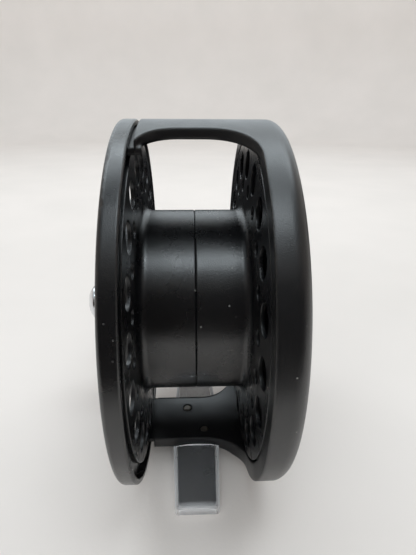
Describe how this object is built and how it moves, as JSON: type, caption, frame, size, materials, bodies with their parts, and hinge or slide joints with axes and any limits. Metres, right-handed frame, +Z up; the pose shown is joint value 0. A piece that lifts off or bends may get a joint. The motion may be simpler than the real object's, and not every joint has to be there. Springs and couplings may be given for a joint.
{
  "type": "fly fishing reel",
  "caption": "Large-arbor fly reel: half frame with pillar, perforated spool with palming rim, side handle, disc drag knob and a foot with clear sleeves.",
  "frame": {"origin": "on the reel axis, at the seam between the two spool halves", "axes": "X is the reel axis with the handle towards -X and the drag knob towards +X; Z is up, away from the foot; the foot tongues point along Y and the line leaves towards -Y"},
  "size_m": [0.0687, 0.1, 0.102],
  "materials": {
    "frame_black": "satin anodised",
    "spool_black": "satin anodised",
    "foot_black": "satin anodised",
    "knob_black": "satin anodised",
    "silver_alloy": "fine brushed",
    "steel": "turned",
    "weight_steel": "blackened",
    "screw_steel": "satin",
    "bright_steel": "polished",
    "spring_steel": "bright",
    "bronze": "oiled",
    "friction": "carbon fibre felt",
    "seal_rubber": "matt",
    "washer_plastic": "smooth",
    "clear_plastic": "clear, faint pink tint at the mouth"
  },
  "bodies": {
    "frame": {"frame": "frame_black", "reel_foot": "foot_black", "foot_screws": "screw_steel", "drag_cover": "knob_black", "drag_cover_screws": "screw_steel", "bearing_front": "steel", "bearing_rear": "steel", "shaft_seal": "seal_rubber", "friction_disc_front": "friction", "friction_disc_rear": "friction", "pressure_plate": "steel", "drag_springs": "spring_steel", "detent_spring": "spring_steel", "pawl_post": "steel", "pawl_spring": "spring_steel", "spring_post": "steel"},
    "sleeve_front": {"foot_sleeve_front": "clear_plastic"},
    "sleeve_rear": {"foot_sleeve_rear": "clear_plastic"},
    "spindle": {"spindle": "steel"},
    "spool": {"spool_front": "spool_black", "spool_rear": "spool_black", "spool_screws": "screw_steel", "hub_bush": "bronze", "clutch_shell": "steel", "clutch_rollers": "bright_steel", "click_ring": "steel", "latch_spring": "spring_steel", "hub_cover": "silver_alloy", "cover_screws": "screw_steel", "handle_post": "steel", "handle_washer": "washer_plastic", "counterweight": "weight_steel", "counterweight_screws": "screw_steel"},
    "latch": {"latch_plate": "steel"},
    "handle": {"handle_knob": "silver_alloy"},
    "drag_nut": {"drag_nut": "bronze"},
    "drag_knob": {"drag_knob": "knob_black", "drag_screw": "steel", "knob_screw": "screw_steel"},
    "detent_ball": {"detent_ball": "bright_steel"},
    "click_pawl": {"click_pawl": "steel"}
  },
  "joints": [
    {"name": "spool_spin", "type": "hinge", "parent": "frame", "child": "spool", "pos_m": [0, 0, 0], "axis": [1, 0, 0], "continuous": true},
    {"name": "spindle_spin", "type": "hinge", "parent": "frame", "child": "spindle", "pos_m": [0, 0, 0], "axis": [1, 0, 0], "continuous": true},
    {"name": "handle_spin", "type": "hinge", "parent": "spool", "child": "handle", "pos_m": [-0.027, 0.03341, -0.01702], "axis": [1, 0, 0], "continuous": true},
    {"name": "latch_slide", "type": "slide", "parent": "spool", "child": "latch", "axis": [0, -0.454, -0.891], "range_m": [0, 0.0015], "stiffness_N_per_m": 1200, "springref_m": -0.0015, "deforming": ["latch_spring"]},
    {"name": "drag_knob_turn", "type": "hinge", "parent": "frame", "child": "drag_knob", "pos_m": [0.026, 0, 0], "axis": [-1, 0, 0], "range_deg": [0, 300]},
    {"name": "drag_nut_slide", "type": "slide", "parent": "frame", "child": "drag_nut", "axis": [-1, 0, 0], "range_m": [0, 0.00125], "deforming": ["drag_springs"]},
    {"name": "detent_slide", "type": "slide", "parent": "frame", "child": "detent_ball", "axis": [-1, 0, 0], "range_m": [0, 0.0003], "stiffness_N_per_m": 60, "springref_m": -0.0006, "deforming": ["detent_spring"]},
    {"name": "pawl_tick", "type": "hinge", "parent": "frame", "child": "click_pawl", "pos_m": [0.0144, -0.0099, 0.01715], "axis": [1, 0, 0], "range_deg": [-12, 12], "stiffness_Nm_per_rad": 0.002, "deforming": ["pawl_spring"]},
    {"name": "sleeve_front_slide", "type": "slide", "parent": "frame", "child": "sleeve_front", "axis": [0, -1, 0], "range_m": [0, 0.03]},
    {"name": "sleeve_rear_slide", "type": "slide", "parent": "frame", "child": "sleeve_rear", "axis": [0, 1, 0], "range_m": [0, 0.03]}
  ],
  "couplings": [
    {"joint": "spindle_spin", "follows": "spool_spin", "ratio": 1},
    {"joint": "drag_knob_turn", "follows": "drag_nut_slide", "rad_per_m": 4188.8}
  ]
}
